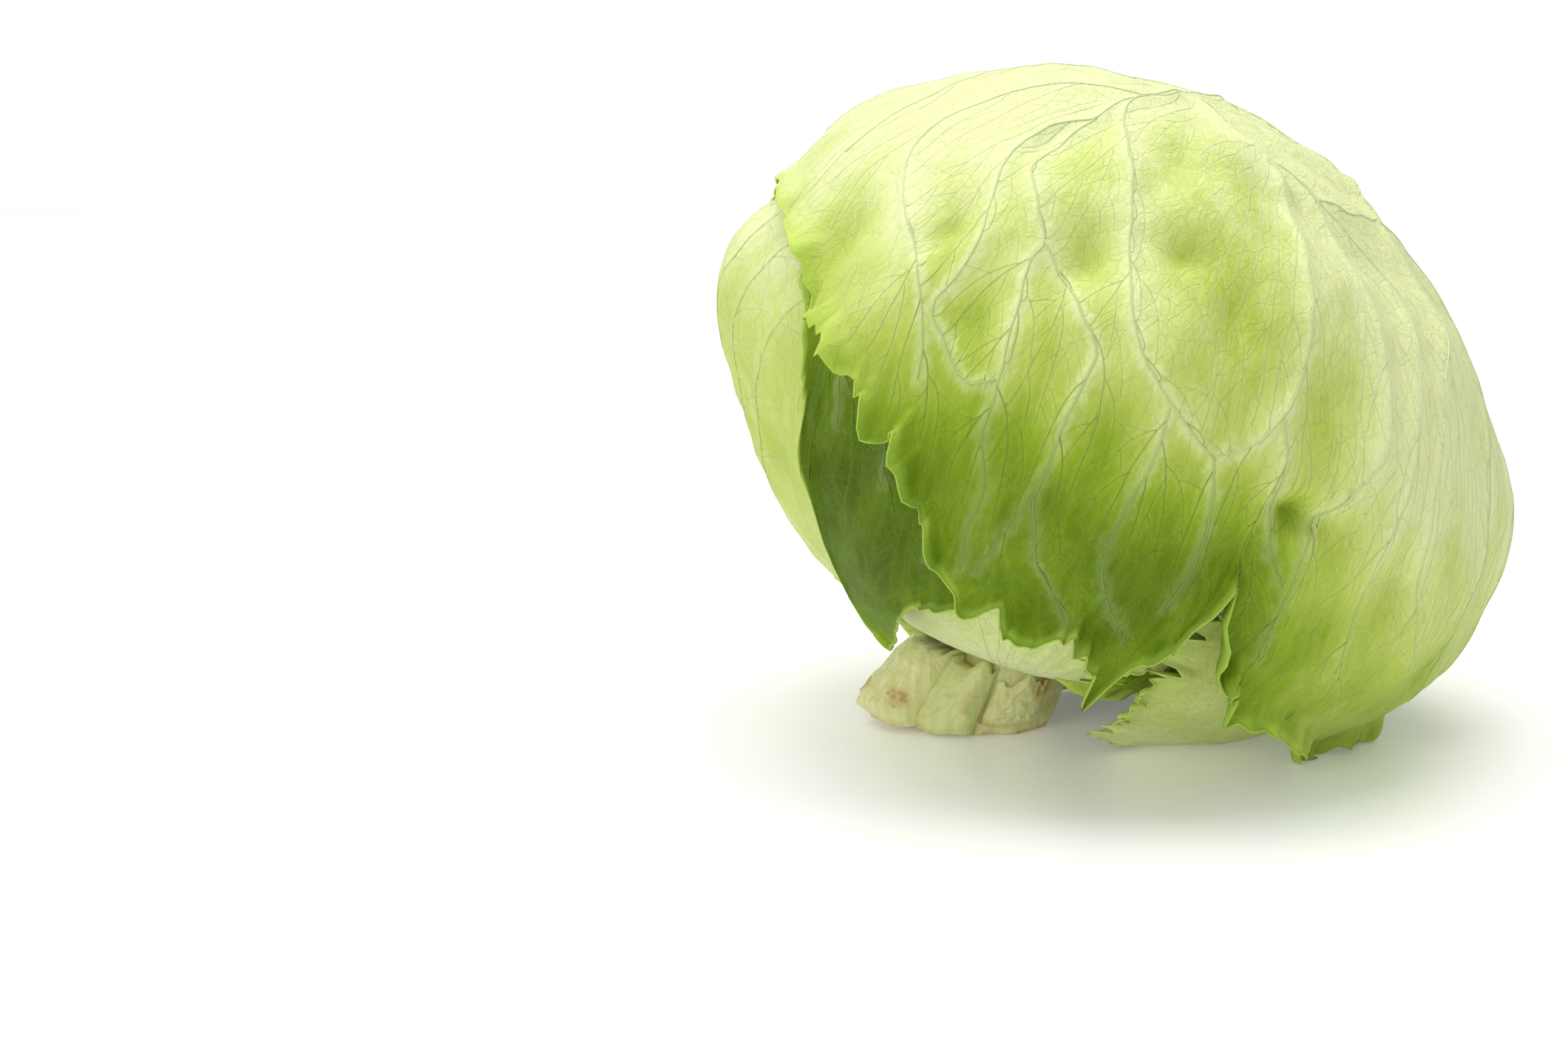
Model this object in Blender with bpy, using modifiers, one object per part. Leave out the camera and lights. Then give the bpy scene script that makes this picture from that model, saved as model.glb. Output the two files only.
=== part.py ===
"""A whole head of iceberg lettuce, lying as it comes to rest on a flat surface.

It leans to +X: its stem stands on the knife's flat cut, and its right side lies on the surface. Every
leaf is a thin cup on its own layer around the heart, a separate solid inside the next one out. +Z is up,
and -Y is the front, where the crown leaf that wraps the head comes down. Sizes are millimetres, times MM.
"""

import math
from dataclasses import dataclass, field

import bmesh
import bpy
import numpy as np
from mathutils import Matrix, Vector

MM = 0.001

# The head's skin is a leaning spheroid around its heart, flattened underneath by its own weight.
HALF_WIDTH = 83.7
HALF_DEPTH = 77.0
HALF_HEIGHT = 67.3
HEAD_LEAN = 29.2
FLOOR_SINK = 9.5
FLOOR_ROUNDING = 4.0
ROUNDING_POWER = 10
LOWEST_REACH = math.hypot(
    HALF_HEIGHT * math.cos(math.radians(HEAD_LEAN)), HALF_WIDTH * math.sin(math.radians(HEAD_LEAN))
)
HEART_HEIGHT = LOWEST_REACH - FLOOR_SINK

# The innermost leaf, and how much closer the layers lie over the crown than at the sides.
HEART_HALF_WIDTH = 21.2
HEART_HALF_DEPTH = 19.5
HEART_HALF_HEIGHT = 17.3
INNERMOST = HALF_HEIGHT - HEART_HALF_HEIGHT
SIDE_SPREAD = (HALF_WIDTH - HEART_HALF_WIDTH) / INNERMOST
DEPTH_SPREAD = (HALF_DEPTH - HEART_HALF_DEPTH) / INNERMOST

# Leaves: thin at the rim, fleshy where they leave the stem.
LEAF_THICKNESS = 0.9
BASE_THICKNESS = 2.4
WRAPPER_GAP = 2.4
WRAPPER_STEP = LEAF_THICKNESS + WRAPPER_GAP
RIB_REACH = 62.0
RIB_FADE = 0.7
NEAREST_STEM_SPAN = 40.0
FURTHEST_STEM_SPAN = 178.0
FLOOR_GAP = 0.6
SHOULDER_ROUNDNESS = 0.8

# The stem stands on the leaves' axis, which leans less than the skin does. Its foot shows below the leaves.
STEM_LEAN = 22.0
STEM_RADIUS = 13.0
STEM_TAPER = 1.5
STEM_TIP_RADIUS = 4.5
STEM_TIP_ROUNDING = 2.0
STEM_NECK = 10.0
STEM_SHOWS = 14.4
STEM_SEGMENTS = 20
STEM_GAP = 0.8
FOOT_DROP = HEART_HEIGHT / math.cos(math.radians(STEM_LEAN))

# The flat underside that the leaf bases form around the stem.
BASE_LEAN = 8.0
BASE_DROP = FOOT_DROP - STEM_SHOWS

# The closed head inside the wrapper leaves, and the unopened bud inside that.
HEAD_LEAVES = 12
FIRST_HEAD_STEP = 4.0
FIRST_HEAD_RISE = 3.1
LAST_HEAD_STEP = INNERMOST / WRAPPER_STEP
HEAD_LEAF_GAP = 1.45
HEAD_LEAF_THICKNESS = (LAST_HEAD_STEP - FIRST_HEAD_STEP) * WRAPPER_STEP / (HEAD_LEAVES - 1) - HEAD_LEAF_GAP
LAST_HEAD_RISE = (BASE_DROP - HEART_HALF_HEIGHT) / BASE_THICKNESS
HEART_LEAVES = 2
FIRST_TURN = 40.0
LEAF_TURN = 137.5
OUTER_CENTRE = 52.0
INNER_CENTRE = 42.0
HEAD_LEAF_SPAN = 82.0
BUD_ROOM = 6.6
BUD_RADIUS = HEART_HALF_DEPTH - HEAD_LEAF_THICKNESS - BUD_ROOM
BUD_HALF_HEIGHT = HEART_HALF_HEIGHT - HEAD_LEAF_THICKNESS - BUD_ROOM
BUD_LIFT = 4.0
BUD_GAP = 3.0
STEM_TIP_DROP = BUD_HALF_HEIGHT - BUD_LIFT + BUD_GAP
STEM_NECK_DROP = BASE_DROP - STEM_NECK

# Stumps of the leaves that were trimmed off, around the stem's foot.
STUMP_GAP = 0.35
STUMP_SIDE_TAPER = 0.35
STUMP_TOP_TAPER = 0.3
STUMP_TOP_DOME = 0.12


@dataclass
class Leaf:
    """One leaf. Its outline is (turn, span) pairs in degrees around its centre, turn 0 towards the stem."""

    name: str
    centre: tuple
    outline: list
    step: float
    base_rise: float | None = None
    base_turn: float = 0.0
    base_spread: float = 10.0
    shoulder: float = 10.0
    rib_half_angle: float = 20.0
    crowding: float = 0.6
    on_floor: bool = False
    thickness: float = LEAF_THICKNESS
    sectors: int = 24
    rings: int = 8
    swells: list = field(default_factory=list)
    look: str = "wrapper"

    @property
    def inset(self):
        """Depth under the skin at the crown: `step` times a wrapper leaf with its gap."""
        return self.step * WRAPPER_STEP

    @property
    def base_drop(self):
        """The heart's height over the leaf's base, `base_rise` base thicknesses above the lowest one."""
        return BASE_DROP - self.base_rise * BASE_THICKNESS


LOOKS = {
    "wrapper": ((0.48, 0.66, 0.16), 0.45),
    "shaded": ((0.24, 0.44, 0.05), 0.45),
    "base": ((0.74, 0.82, 0.50), 0.4),
    "inner": ((0.74, 0.82, 0.36), 0.45),
    "heart": ((0.88, 0.82, 0.28), 0.45),
    "stem": ((0.78, 0.76, 0.52), 0.55),
    "stump": ((0.72, 0.76, 0.44), 0.5),
}

CROWN_LEAF = Leaf(
    name="crown_wrapper_leaf",
    centre=(0, 0),
    outline=[
        (-150, 124), (-122, 92), (-95, 75), (-76, 77), (-62, 84), (-45, 93), (-35, 99), (-25, 114),
        (-18, 120), (-5, 121), (7, 122), (14, 111), (18, 103), (24, 112), (33, 116), (50, 119),
        (66, 121), (90, 118), (125, 118), (148, 132),
    ],
    step=0,
    base_turn=180,
    base_spread=26,
    shoulder=34,
    rib_half_angle=32,
    crowding=-0.1,
    sectors=44,
    rings=9,
)

FRONT_LEFT_LEAF = Leaf(
    name="front_left_wrapper_leaf",
    centre=(0, 0),
    outline=[
        (-170, 100), (-120, 66), (-85, 66), (-66, 84), (-56, 112), (-47, 140), (-38, 138), (-28, 124),
        (-10, 112), (20, 100), (50, 78), (90, 76), (120, 94), (180, 108),
    ],
    step=1,
    base_rise=0,
    base_turn=152,
    base_spread=20,
    shoulder=40,
    rib_half_angle=32,
    crowding=-0.35,
    sectors=42,
    rings=9,
    look="shaded",
)

RIGHT_LEAF = Leaf(
    name="right_wrapper_leaf",
    centre=(100, 70),
    outline=[
        (-85, 50), (-66, 52), (-45, 53), (-26, 56), (30, 36), (60, 24), (120, 25), (180, 48), (-125, 48),
    ],
    step=2,
    on_floor=True,
    look="base",
)

LEFT_LEAF = Leaf(
    name="left_wrapper_leaf",
    centre=(85, -95),
    outline=[(-40, 54), (-90, 58), (-140, 56), (180, 54), (130, 52), (80, 50), (45, 58)],
    step=2,
    base_rise=0.4,
    base_turn=-6,
    swells=[(95, -92, 16, 9.0)],
)

FRONT_LEAF = Leaf(
    name="front_base_leaf",
    centre=(90, -5),
    outline=[
        (-45, 72), (-26, 76), (24, 42), (45, 40), (90, 46), (140, 60), (180, 66), (-140, 64), (-90, 58),
    ],
    step=3,
    base_rise=1.25,
    look="base",
)

BACK_LEAF = Leaf(
    name="back_wrapper_leaf",
    centre=(88, -160),
    outline=[(-40, 60), (-90, 58), (-140, 60), (180, 64), (140, 60), (90, 56), (40, 50)],
    step=3,
    base_rise=2,
)

TORN_LEAF = Leaf(
    name="torn_front_leaf",
    centre=(115, 42),
    outline=[(-60, 19), (-30, 22), (35, 30), (60, 30), (110, 30), (180, 30), (-120, 24), (-90, 20)],
    step=3.5,
    base_rise=-0.6,
    base_turn=8,
    look="shaded",
    rings=6,
)


def axis_frame(lean):
    """(up, right, front) unit vectors of a frame that leans to +X."""
    slope = math.radians(lean)
    up = np.array([math.sin(slope), 0.0, math.cos(slope)])
    right = np.array([math.cos(slope), 0.0, -math.sin(slope)])
    return up, right, np.array([0.0, -1.0, 0.0])


STEM_UP, STEM_RIGHT, STEM_FRONT = axis_frame(STEM_LEAN)


def direction(tilt, azimuth):
    """Unit vector from the heart: tilt from the stem's axis at the crown, azimuth from the front to +X."""
    tilt, azimuth = np.radians(tilt), np.radians(azimuth)
    around = np.cos(azimuth)[..., None] * STEM_FRONT + np.sin(azimuth)[..., None] * STEM_RIGHT
    return np.cos(tilt)[..., None] * STEM_UP + np.sin(tilt)[..., None] * around


def wrapped(angle):
    """The same angle between -180 and 180 degrees."""
    return (angle + 180) % 360 - 180


def degrees_between(towards, other):
    return np.degrees(np.arccos(np.clip(towards @ other, -1, 1)))


def leaf_directions(leaf, turn, span):
    """Unit vectors `span` degrees from the leaf's centre, towards `turn`."""
    tilt, azimuth = np.radians(leaf.centre)
    around = math.cos(azimuth) * STEM_FRONT + math.sin(azimuth) * STEM_RIGHT
    centre = math.cos(tilt) * STEM_UP + math.sin(tilt) * around
    down = -math.sin(tilt) * STEM_UP + math.cos(tilt) * around
    side = -math.sin(azimuth) * STEM_FRONT + math.cos(azimuth) * STEM_RIGHT
    turn, span = np.radians(turn), np.radians(span)
    heading = np.cos(turn)[..., None] * down + np.sin(turn)[..., None] * side
    return np.cos(span)[..., None] * centre + np.sin(span)[..., None] * heading


def layer_reach(leaf, towards):
    """Distance in millimetres from the heart to the leaf's outer face along each unit vector."""
    up, right, front = axis_frame(HEAD_LEAN)
    height = HALF_HEIGHT - leaf.inset
    width = HALF_WIDTH - SIDE_SPREAD * leaf.inset
    depth = HALF_DEPTH - DEPTH_SPREAD * leaf.inset
    shares = [towards @ up / height, towards @ right / width, towards @ front / depth]
    skin = np.sqrt(sum(share**2 for share in shares))
    swell = np.zeros(skin.shape)
    for tilt, azimuth, width_angle, rise in leaf.swells:
        apart = degrees_between(towards, direction(np.array(tilt), np.array(azimuth)))
        swell += rise * np.exp(-((apart / width_angle) ** 2))
    down = np.maximum(-towards[..., 2], 1e-9)
    if leaf.on_floor:
        return np.minimum(1 / skin + swell, HEART_HEIGHT / down)
    floor = HEART_HEIGHT + FLOOR_ROUNDING - leaf.inset
    total = skin**ROUNDING_POWER + (down / floor) ** ROUNDING_POWER
    if leaf.base_rise is not None:
        base_down = -axis_frame(BASE_LEAN)[0]
        total += (np.maximum(towards @ base_down, 0) / leaf.base_drop) ** ROUNDING_POWER
    return np.minimum(total ** (-1 / ROUNDING_POWER) + swell, (HEART_HEIGHT - FLOOR_GAP) / down)


def stem_radius(drop):
    """The stem's radius at a distance below the heart."""
    drops = [STEM_TIP_DROP, STEM_NECK_DROP, BASE_DROP]
    return np.interp(drop, drops, [STEM_TIP_RADIUS, STEM_RADIUS - STEM_TAPER, STEM_RADIUS])


def span_to_stem(leaf, turn):
    """The span at which the leaf, followed towards `turn`, comes up to the stem's wall."""
    spans = np.arange(NEAREST_STEM_SPAN, FURTHEST_STEM_SPAN, 0.25)
    towards = leaf_directions(leaf, np.full(spans.shape, turn), spans)
    points = towards * (layer_reach(leaf, towards) - BASE_THICKNESS)[:, None]
    drop = -points @ STEM_UP
    away = np.linalg.norm(points + drop[:, None] * STEM_UP, axis=1)
    inside = (away < stem_radius(drop) + STEM_GAP) & (drop > 0)
    return spans[inside.argmax()] if inside.any() else spans[np.where(drop > 0, away, np.inf).argmin()]


def smooth_loop(pairs, turns):
    """The outline's span at each turn: a periodic curve through the pairs that never overshoots them."""
    pairs = sorted(pairs)
    knots = np.array([pairs[-1][0] - 360, *(p[0] for p in pairs), pairs[0][0] + 360], float)
    values = np.array([pairs[-1][1], *(p[1] for p in pairs), pairs[0][1]], float)
    turns = (turns - knots[1]) % 360 + knots[1]
    place = np.clip(np.searchsorted(knots, turns, side="right") - 1, 0, len(knots) - 2)
    part = (turns - knots[place]) / (knots[place + 1] - knots[place])
    eased = part * part * (3 - 2 * part)
    return values[place] + (values[place + 1] - values[place]) * (0.5 * part + 0.5 * eased)


def rim_spans(leaf, turns):
    """The span of the leaf's rim at each turn: its outline, drawn out to the stem where it joins it."""
    spans = smooth_loop(leaf.outline, turns)
    from_base = wrapped(turns - leaf.base_turn)
    off_base = np.abs(from_base)
    for index in np.flatnonzero(off_base <= leaf.base_spread + leaf.shoulder):
        narrowing = max(0.0, (off_base[index] - leaf.base_spread) / leaf.shoulder)
        nearest = np.clip(from_base[index], -leaf.base_spread, leaf.base_spread)
        to_stem = span_to_stem(leaf, leaf.base_turn + nearest)
        spans[index] = to_stem + (spans[index] - to_stem) * narrowing**SHOULDER_ROUNDNESS
    return spans


def rib_weight(leaf, towards, turns):
    """1 where the leaf leaves the stem, fading to 0 along its midrib and away from it."""
    to_stem = degrees_between(towards, -STEM_UP)
    off_base = np.abs(wrapped(turns - leaf.base_turn))
    along = np.clip(1 - to_stem / RIB_REACH, 0, 1) ** RIB_FADE
    return along * np.exp(-((off_base / leaf.rib_half_angle) ** 2))


def new_material(look):
    colour, roughness = LOOKS[look]
    material = bpy.data.materials.new(f"lettuce_{look}")
    material.use_nodes = True
    material.diffuse_color = (*colour, 1)
    shader = material.node_tree.nodes["Principled BSDF"]
    shader.inputs["Base Color"].default_value = (*colour, 1)
    shader.inputs["Roughness"].default_value = roughness
    shader.inputs["Metallic"].default_value = 0
    return material


def add_object(name, mesh, look, collection):
    part = bpy.data.objects.new(name, mesh)
    part.data.materials.append(new_material(look))
    part.data.shade_smooth()
    collection.objects.link(part)
    return part


def place_at_heart(part):
    part.location.z = HEART_HEIGHT * MM
    return part


def build_leaf(leaf, collection):
    """An open sheet of rings around the leaf's centre, made solid inwards by a Solidify modifier."""
    steps = np.arange(leaf.sectors) * (2 * math.pi / leaf.sectors) - math.pi
    turns = leaf.base_turn + np.degrees(steps - leaf.crowding * np.sin(steps))
    rim = rim_spans(leaf, turns)
    parts = np.arange(1, leaf.rings + 1) / leaf.rings
    spans = rim[None, :] * parts[:, None]
    turn_grid = np.broadcast_to(turns, spans.shape)
    towards = leaf_directions(leaf, turn_grid, spans).reshape(-1, 3)
    centre = leaf_directions(leaf, np.zeros(1), np.zeros(1))
    towards = np.vstack([centre, towards])
    points = towards * layer_reach(leaf, towards)[:, None] * MM
    faces = []
    for sector in range(leaf.sectors):
        after = (sector + 1) % leaf.sectors
        faces.append((0, 1 + sector, 1 + after))
        for ring in range(leaf.rings - 1):
            near, far = 1 + ring * leaf.sectors, 1 + (ring + 1) * leaf.sectors
            faces.append((near + sector, far + sector, far + after, near + after))
    mesh = bpy.data.meshes.new(leaf.name)
    mesh.from_pydata(points.tolist(), [], faces)
    sheet = bmesh.new()
    sheet.from_mesh(mesh)
    bmesh.ops.recalc_face_normals(sheet, faces=sheet.faces)
    middle = next(iter(sheet.faces))
    if middle.normal.dot(middle.calc_center_median()) < 0:
        bmesh.ops.reverse_faces(sheet, faces=sheet.faces)
    sheet.to_mesh(mesh)
    sheet.free()
    part = place_at_heart(add_object(leaf.name, mesh, leaf.look, collection))
    group = part.vertex_groups.new(name="rib")
    weights = rib_weight(leaf, towards, np.concatenate([[leaf.base_turn + 90], turn_grid.ravel()]))
    for index, weight in enumerate(weights):
        group.add([index], float(weight), "REPLACE")
    flesh = part.modifiers.new("Leaf thickness", "SOLIDIFY")
    flesh.thickness = BASE_THICKNESS * MM
    flesh.offset = -1
    flesh.vertex_group = "rib"
    flesh.thickness_vertex_group = leaf.thickness / BASE_THICKNESS
    return part


def head_leaf(index):
    """A leaf of the closed head: the first is the outermost, each a golden angle round from the last."""
    share = index / (HEAD_LEAVES - 1)
    tilt = OUTER_CENTRE + (INNER_CENTRE - OUTER_CENTRE) * share
    in_heart = index - (HEAD_LEAVES - HEART_LEAVES)
    span = HEAD_LEAF_SPAN
    return Leaf(
        name=f"head_leaf_{index + 1:02d}" if in_heart < 0 else f"heart_leaf_{in_heart + 1}",
        centre=(tilt, wrapped(LEAF_TURN * index + FIRST_TURN)),
        outline=[
            (-50, span + 8), (-90, span), (-140, span - 8), (180, span - 12),
            (140, span - 8), (90, span), (50, span + 8),
        ],
        step=FIRST_HEAD_STEP + (LAST_HEAD_STEP - FIRST_HEAD_STEP) * share,
        base_rise=FIRST_HEAD_RISE + (LAST_HEAD_RISE - FIRST_HEAD_RISE) * share,
        thickness=HEAD_LEAF_THICKNESS,
        sectors=18,
        rings=7,
        look="inner" if in_heart < 0 else "heart",
    )


def build_heart_bud(collection):
    """The unopened leaves at the very middle, as one small egg on the end of the stem."""
    bpy.ops.mesh.primitive_uv_sphere_add(segments=14, ring_count=9, radius=BUD_RADIUS * MM)
    egg = bpy.context.active_object
    mesh = egg.data
    bpy.data.objects.remove(egg)
    mesh.transform(Matrix.Diagonal((1, 1, BUD_HALF_HEIGHT / BUD_RADIUS, 1)))
    bud = place_at_heart(add_object("heart_bud", mesh, "heart", collection))
    bud.rotation_euler.y = math.radians(STEM_LEAN)
    bud.location += Vector(STEM_UP) * BUD_LIFT * MM
    return bud


def build_stem(collection, cutters):
    """A turned stem on the leaves' axis, cut off level by a knife."""
    foot = FOOT_DROP + STEM_RADIUS
    middle = (STEM_NECK_DROP + STEM_TIP_DROP) / 2
    drops = [foot, BASE_DROP, STEM_NECK_DROP, middle, STEM_TIP_DROP + STEM_TIP_ROUNDING]
    profile = [(float(stem_radius(drop)), -drop) for drop in drops]
    end = (STEM_TIP_RADIUS - STEM_TIP_ROUNDING, -STEM_TIP_DROP)
    profile = [(0, -foot), *profile, end, (0, -STEM_TIP_DROP)]
    mesh = bpy.data.meshes.new("core_stem")
    points = [(x * MM, 0, z * MM) for x, z in reversed(profile)]
    mesh.from_pydata(points, [(i, i + 1) for i in range(len(points) - 1)], [])
    stem = place_at_heart(add_object("core_stem", mesh, "stem", collection))
    stem.rotation_euler.y = math.radians(STEM_LEAN)
    turn = stem.modifiers.new("Turned core", "SCREW")
    turn.axis = "Z"
    turn.steps = turn.render_steps = STEM_SEGMENTS
    turn.use_merge_vertices = True
    turn.merge_threshold = 0.00001
    knife = add_knife(cutters)
    cut = stem.modifiers.new("Level cut", "BOOLEAN")
    cut.operation = "DIFFERENCE"
    cut.object = knife
    return stem


def add_knife(cutters):
    """A block below the surface, large enough to take off the stem's foot level."""
    depth = 4 * STEM_RADIUS * MM
    bpy.ops.mesh.primitive_cube_add(size=1)
    knife = bpy.context.active_object
    knife.name = "knife_cut"
    knife.data.transform(Matrix.Diagonal((4 * depth, 4 * depth, depth, 1)))
    knife.location.z = -depth / 2
    for owner in list(knife.users_collection):
        owner.objects.unlink(knife)
    cutters.objects.link(knife)
    knife.hide_render = True
    knife.display_type = "WIRE"
    return knife


# name, azimuth around the stem, thickness, half angle, foot height, top's depth under the leaves' underside
STUMPS = [
    ("trimmed_base_left", -96, 15.0, 40, 2.4, 1.4),
    ("trimmed_base_front", -30, 5.0, 28, 0.8, -0.6),
    ("trimmed_base_right", 12, 4.0, 12, 5.0, 0.0),
]


def underside(x):
    """Height of the leaves' flat underside over the surface, at a distance from the heart towards +X."""
    lean = math.radians(BASE_LEAN)
    return HEART_HEIGHT - (BASE_DROP + x * math.sin(lean)) / math.cos(lean)


def build_stump(name, azimuth, thickness, half_angle, foot, depth, collection):
    """What is left of a trimmed leaf: a fleshy scale around the stem's foot, rounded off by subdivision."""
    bpy.ops.mesh.primitive_cube_add(size=2)
    scale = bpy.context.active_object
    mesh = scale.data
    bpy.data.objects.remove(scale)
    sheet = bmesh.new()
    sheet.from_mesh(mesh)
    bmesh.ops.subdivide_edges(sheet, edges=sheet.edges, cuts=1, use_grid_fill=True)
    lean = math.tan(math.radians(STEM_LEAN))
    middle = -HEART_HEIGHT * lean + (STEM_RADIUS + thickness / 2) * math.sin(math.radians(azimuth))
    top = underside(middle) - depth
    for corner in sheet.verts:
        across, out, rise = corner.co.x, (corner.co.y + 1) / 2, (corner.co.z + 1) / 2
        angle = math.radians(azimuth + half_angle * across)
        fullness = 1 - STUMP_SIDE_TAPER * across * across - STUMP_TOP_TAPER * rise
        sag = math.cos(math.radians(half_angle) / 2) * math.cos(math.radians(half_angle) / 4)
        clear = (STEM_RADIUS + STUMP_GAP) / sag
        radius = clear + thickness * out * fullness
        height = foot + (top - foot) * rise * (1 - STUMP_TOP_DOME * across * across)
        axis_x = (height - HEART_HEIGHT) * lean
        across_lean = radius * math.sin(angle) / math.cos(math.radians(STEM_LEAN))
        corner.co = Vector((axis_x + across_lean, -radius * math.cos(angle), height)) * MM
    bmesh.ops.recalc_face_normals(sheet, faces=sheet.faces)
    if sheet.calc_volume(signed=True) < 0:
        bmesh.ops.reverse_faces(sheet, faces=sheet.faces)
    sheet.to_mesh(mesh)
    sheet.free()
    stump = add_object(name, mesh, "stump", collection)
    soften = stump.modifiers.new("Soft edges", "SUBSURF")
    soften.levels = soften.render_levels = 1
    return stump


def main():
    for thing in list(bpy.data.objects):
        bpy.data.objects.remove(thing)
    head = bpy.data.collections.new("Iceberg lettuce head")
    cutters = bpy.data.collections.new("Cutters")
    bpy.context.scene.collection.children.link(head)
    bpy.context.scene.collection.children.link(cutters)
    build_stem(head, cutters)
    for stump in STUMPS:
        build_stump(*stump, head)
    for leaf in (CROWN_LEAF, FRONT_LEFT_LEAF, RIGHT_LEAF, LEFT_LEAF, FRONT_LEAF, BACK_LEAF, TORN_LEAF):
        build_leaf(leaf, head)
    for index in range(HEAD_LEAVES):
        build_leaf(head_leaf(index), head)
    build_heart_bud(head)


main()
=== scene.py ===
"""The looks of a whole iceberg lettuce head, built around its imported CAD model.

The wrapper leaves, the stem and the trimmed stumps are rebuilt here on the CAD model's own layers, with
frilly margins, folds, dents, veins and waxy, slightly see-through blades. The leaves packed inside the head
stay as CAD made them. Sizes are millimetres, times MM; angles are degrees. A place on the head is a tilt
from the stem's axis at the crown and an azimuth round it, 0 at the front and positive towards +X.
"""

import math
from dataclasses import dataclass, field

import bmesh
import bpy
import numpy as np
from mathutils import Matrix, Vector
from mathutils.kdtree import KDTree


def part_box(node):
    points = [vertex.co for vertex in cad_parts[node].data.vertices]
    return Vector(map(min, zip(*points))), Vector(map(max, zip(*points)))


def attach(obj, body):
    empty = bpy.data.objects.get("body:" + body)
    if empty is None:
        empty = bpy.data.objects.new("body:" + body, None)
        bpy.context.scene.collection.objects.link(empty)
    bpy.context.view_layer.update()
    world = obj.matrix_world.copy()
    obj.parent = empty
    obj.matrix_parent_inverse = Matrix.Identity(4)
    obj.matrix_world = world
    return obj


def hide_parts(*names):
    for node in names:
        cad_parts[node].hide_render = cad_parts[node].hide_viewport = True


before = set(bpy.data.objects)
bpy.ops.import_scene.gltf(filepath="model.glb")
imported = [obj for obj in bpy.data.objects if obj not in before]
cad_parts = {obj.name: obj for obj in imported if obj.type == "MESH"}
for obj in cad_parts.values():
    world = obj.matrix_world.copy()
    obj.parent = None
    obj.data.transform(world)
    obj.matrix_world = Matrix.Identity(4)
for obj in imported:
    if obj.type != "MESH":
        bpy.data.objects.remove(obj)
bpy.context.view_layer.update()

# The CAD head's shape. Its crown leaf's box gives the length of one of its millimetres.
CROWN_DEPTH = 153.6
MM = (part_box("crown_wrapper_leaf")[1].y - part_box("crown_wrapper_leaf")[0].y) / CROWN_DEPTH
HALF_WIDTH = 83.7
HALF_DEPTH = 77.0
HALF_HEIGHT = 67.3
HEAD_LEAN = 29.2
STEM_LEAN = 22.0
BASE_LEAN = 8.0
BASE_DROP = 52.5
BASE_THICKNESS = 2.4
LAYER = 3.3
SIDE_SPREAD = 1.25
DEPTH_SPREAD = 1.15
FLOOR_ROUNDING = 4.0
FLOOR_GAP = 0.35
ROUNDING_POWER = 10
STEM_RADIUS = 13.0
BUD_LIFT = 4.0


def axis_frame(lean):
    """(up, right, front) unit vectors of a frame that leans to +X."""
    slope = math.radians(lean)
    up = np.array([math.sin(slope), 0.0, math.cos(slope)])
    right = np.array([math.cos(slope), 0.0, -math.sin(slope)])
    return up, right, np.array([0.0, -1.0, 0.0])


STEM_UP, STEM_RIGHT, STEM_FRONT = axis_frame(STEM_LEAN)
HEART = np.array(sum(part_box("heart_bud"), Vector())) / 2 / MM - BUD_LIFT * STEM_UP
HEART_HEIGHT = HEART[2]

# The left leaf bulges out beside the crown leaf's rim.
BULGE_PLACE = (89, -92)
BULGE_HALF_WIDTH = 15
BULGE_RISE = 8.4

# Places where the skin stands out or is dented: tilt, azimuth, half width along tilt and azimuth, rise.
SWELLS = [
    (88, -94, 15, 18, 1.8), (40, 100, 18, 24, -3.4), (62, 92, 12, 22, -1.8), (82, 86, 9, 15, 1.8),
    (12, 160, 16, 45, 1.2), (46, -45, 6, 8, -3.4), (61, -23, 7, 5, -4.6), (53, -8, 4, 5, -3.6),
    (67, -45, 5, 3, -3.0), (78, -33, 9, 7, -2.4), (84.5, 22.5, 2.2, 4.5, -6.5), (90, 8, 10, 9, -1.6),
    (37, -58, 9, 13, 1.6), (56, -36, 9, 6, 1.3), (72, -4, 12, 6, 1.6), (74, 32, 11, 7, 1.6),
    (78, -61, 14, 5, -4.2), (62, -88, 6, 15, 1.4), (95, 55, 12, 7, 1.6), (98, 36, 6, 5, -2.2),
    (34, 6, 5, 14, -2.0), (27, -35, 5, 14, 1.8), (42, 44, 7, 11, -1.8), (55, 60, 12, 7, 1.4),
    (68, 24, 6, 9, -2.2), (60, 4, 6, 4, -2.4), (91, 18, 5, 6, -2.6), (90, 44, 5, 5, -2.2),
    (37, -45, 5, 6, -2.2), (88, -48, 7, 6, 1.5), (104, -8, 6, 16, 1.0), (70, 64, 9, 5, -1.8),
    (84, 74, 10, 5, -1.4), (26, -41, 4, 7, -1.8), (48, 24, 6, 5, 1.4), (101, 62, 7, 5, -1.6),
]


def direction(tilt, azimuth):
    """Unit vector from the heart: tilt from the stem's axis at the crown, azimuth from the front to +X."""
    tilt, azimuth = np.radians(tilt), np.radians(azimuth)
    around = np.cos(azimuth)[..., None] * STEM_FRONT + np.sin(azimuth)[..., None] * STEM_RIGHT
    return np.cos(tilt)[..., None] * STEM_UP + np.sin(tilt)[..., None] * around


def polar(towards):
    """(tilt, azimuth) of unit vectors from the heart."""
    tilt = np.degrees(np.arccos(np.clip(towards @ STEM_UP, -1, 1)))
    return tilt, np.degrees(np.arctan2(towards @ STEM_RIGHT, towards @ STEM_FRONT))


def wrapped(angle):
    """The same angle between -180 and 180 degrees."""
    return (angle + 180) % 360 - 180


def smooth(value):
    """0 below 0, 1 above 1, and an even ease between."""
    value = np.clip(value, 0, 1)
    return value * value * (3 - 2 * value)


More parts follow.
